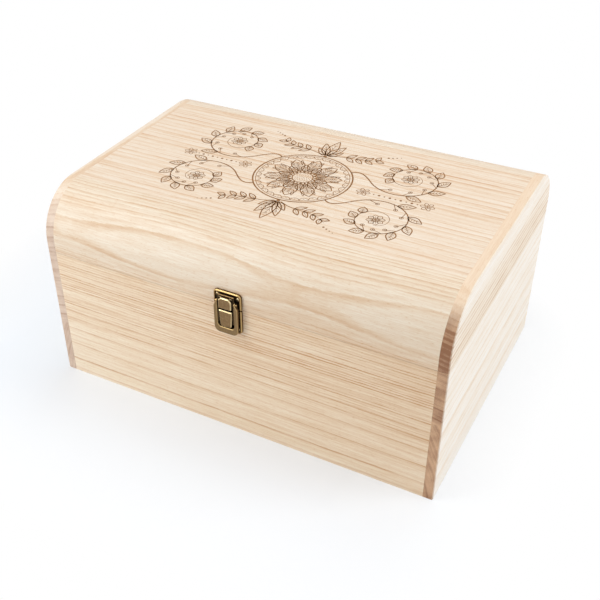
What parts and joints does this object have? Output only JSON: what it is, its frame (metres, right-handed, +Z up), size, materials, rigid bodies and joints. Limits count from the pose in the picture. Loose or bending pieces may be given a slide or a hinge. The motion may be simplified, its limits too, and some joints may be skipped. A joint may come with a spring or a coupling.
{
  "type": "keepsake box",
  "caption": "Wooden keepsake box with a flat-topped, round-shouldered lid hinged at the back and a stamped metal lever latch at the front.",
  "frame": {"origin": "centre of the underside", "axes": "+X to the box's right seen from the front, +Y from front to back, +Z up"},
  "size_m": [0.35, 0.2604, 0.177],
  "materials": {
    "long_boards": "planed, unfinished, fine grain along the box",
    "end_boards": "planed, unfinished, grain front to back",
    "top_board": "planed, unfinished, with laser-brown engraved lines",
    "bottom_panel": "thin plywood, unfinished",
    "latch_metal": "antique bronze, dark in the hollows and rubbed bright on the edges",
    "hinge_metal": "antique bronze",
    "pins": "antique bronze",
    "nails": "dark antique bronze"
  },
  "bodies": {
    "base": {"base_front_board": "long_boards", "base_back_board": "long_boards", "base_left_plank_lower": "end_boards", "base_left_plank_upper": "end_boards", "base_right_plank_lower": "end_boards", "base_right_plank_upper": "end_boards", "base_bottom_panel": "bottom_panel", "latch_base_plate": "latch_metal", "latch_base_nails": "nails", "latch_pivot_pins": "pins", "hinge_base_leaf_left": "hinge_metal", "hinge_base_leaf_right": "hinge_metal", "hinge_pin_left": "pins", "hinge_pin_right": "pins", "hinge_base_nails": "nails"},
    "lid": {"lid_front_shoulder": "long_boards", "lid_back_shoulder": "long_boards", "lid_top_board": "top_board", "lid_left_end": "end_boards", "lid_right_end": "end_boards", "latch_keeper_plate": "latch_metal", "latch_keeper_hook": "latch_metal", "latch_keeper_nails": "nails", "hinge_lid_leaf_left": "hinge_metal", "hinge_lid_leaf_right": "hinge_metal", "hinge_lid_nails": "nails"},
    "latch_lever": {"latch_lever": "latch_metal", "latch_link_pins": "pins"},
    "latch_link": {"latch_link_loop": "latch_metal", "latch_link_tongue": "latch_metal"}
  },
  "joints": [
    {"name": "lid_hinge", "type": "hinge", "parent": "base", "child": "lid", "pos_m": [0, 0.1262, 0.125], "axis": [-1, 0, 0], "range_deg": [0, 100]},
    {"name": "latch_lever", "type": "hinge", "parent": "base", "child": "latch_lever", "pos_m": [0, -0.1277, 0.1306], "axis": [-1, 0, 0], "range_deg": [0, 95]},
    {"name": "latch_link", "type": "hinge", "parent": "latch_lever", "child": "latch_link", "pos_m": [0, -0.1282, 0.1136], "axis": [-1, 0, 0], "range_deg": [-60, 0]}
  ],
  "couplings": [
    {"joint": "latch_link", "follows": "latch_lever", "ratio": -0.6}
  ]
}
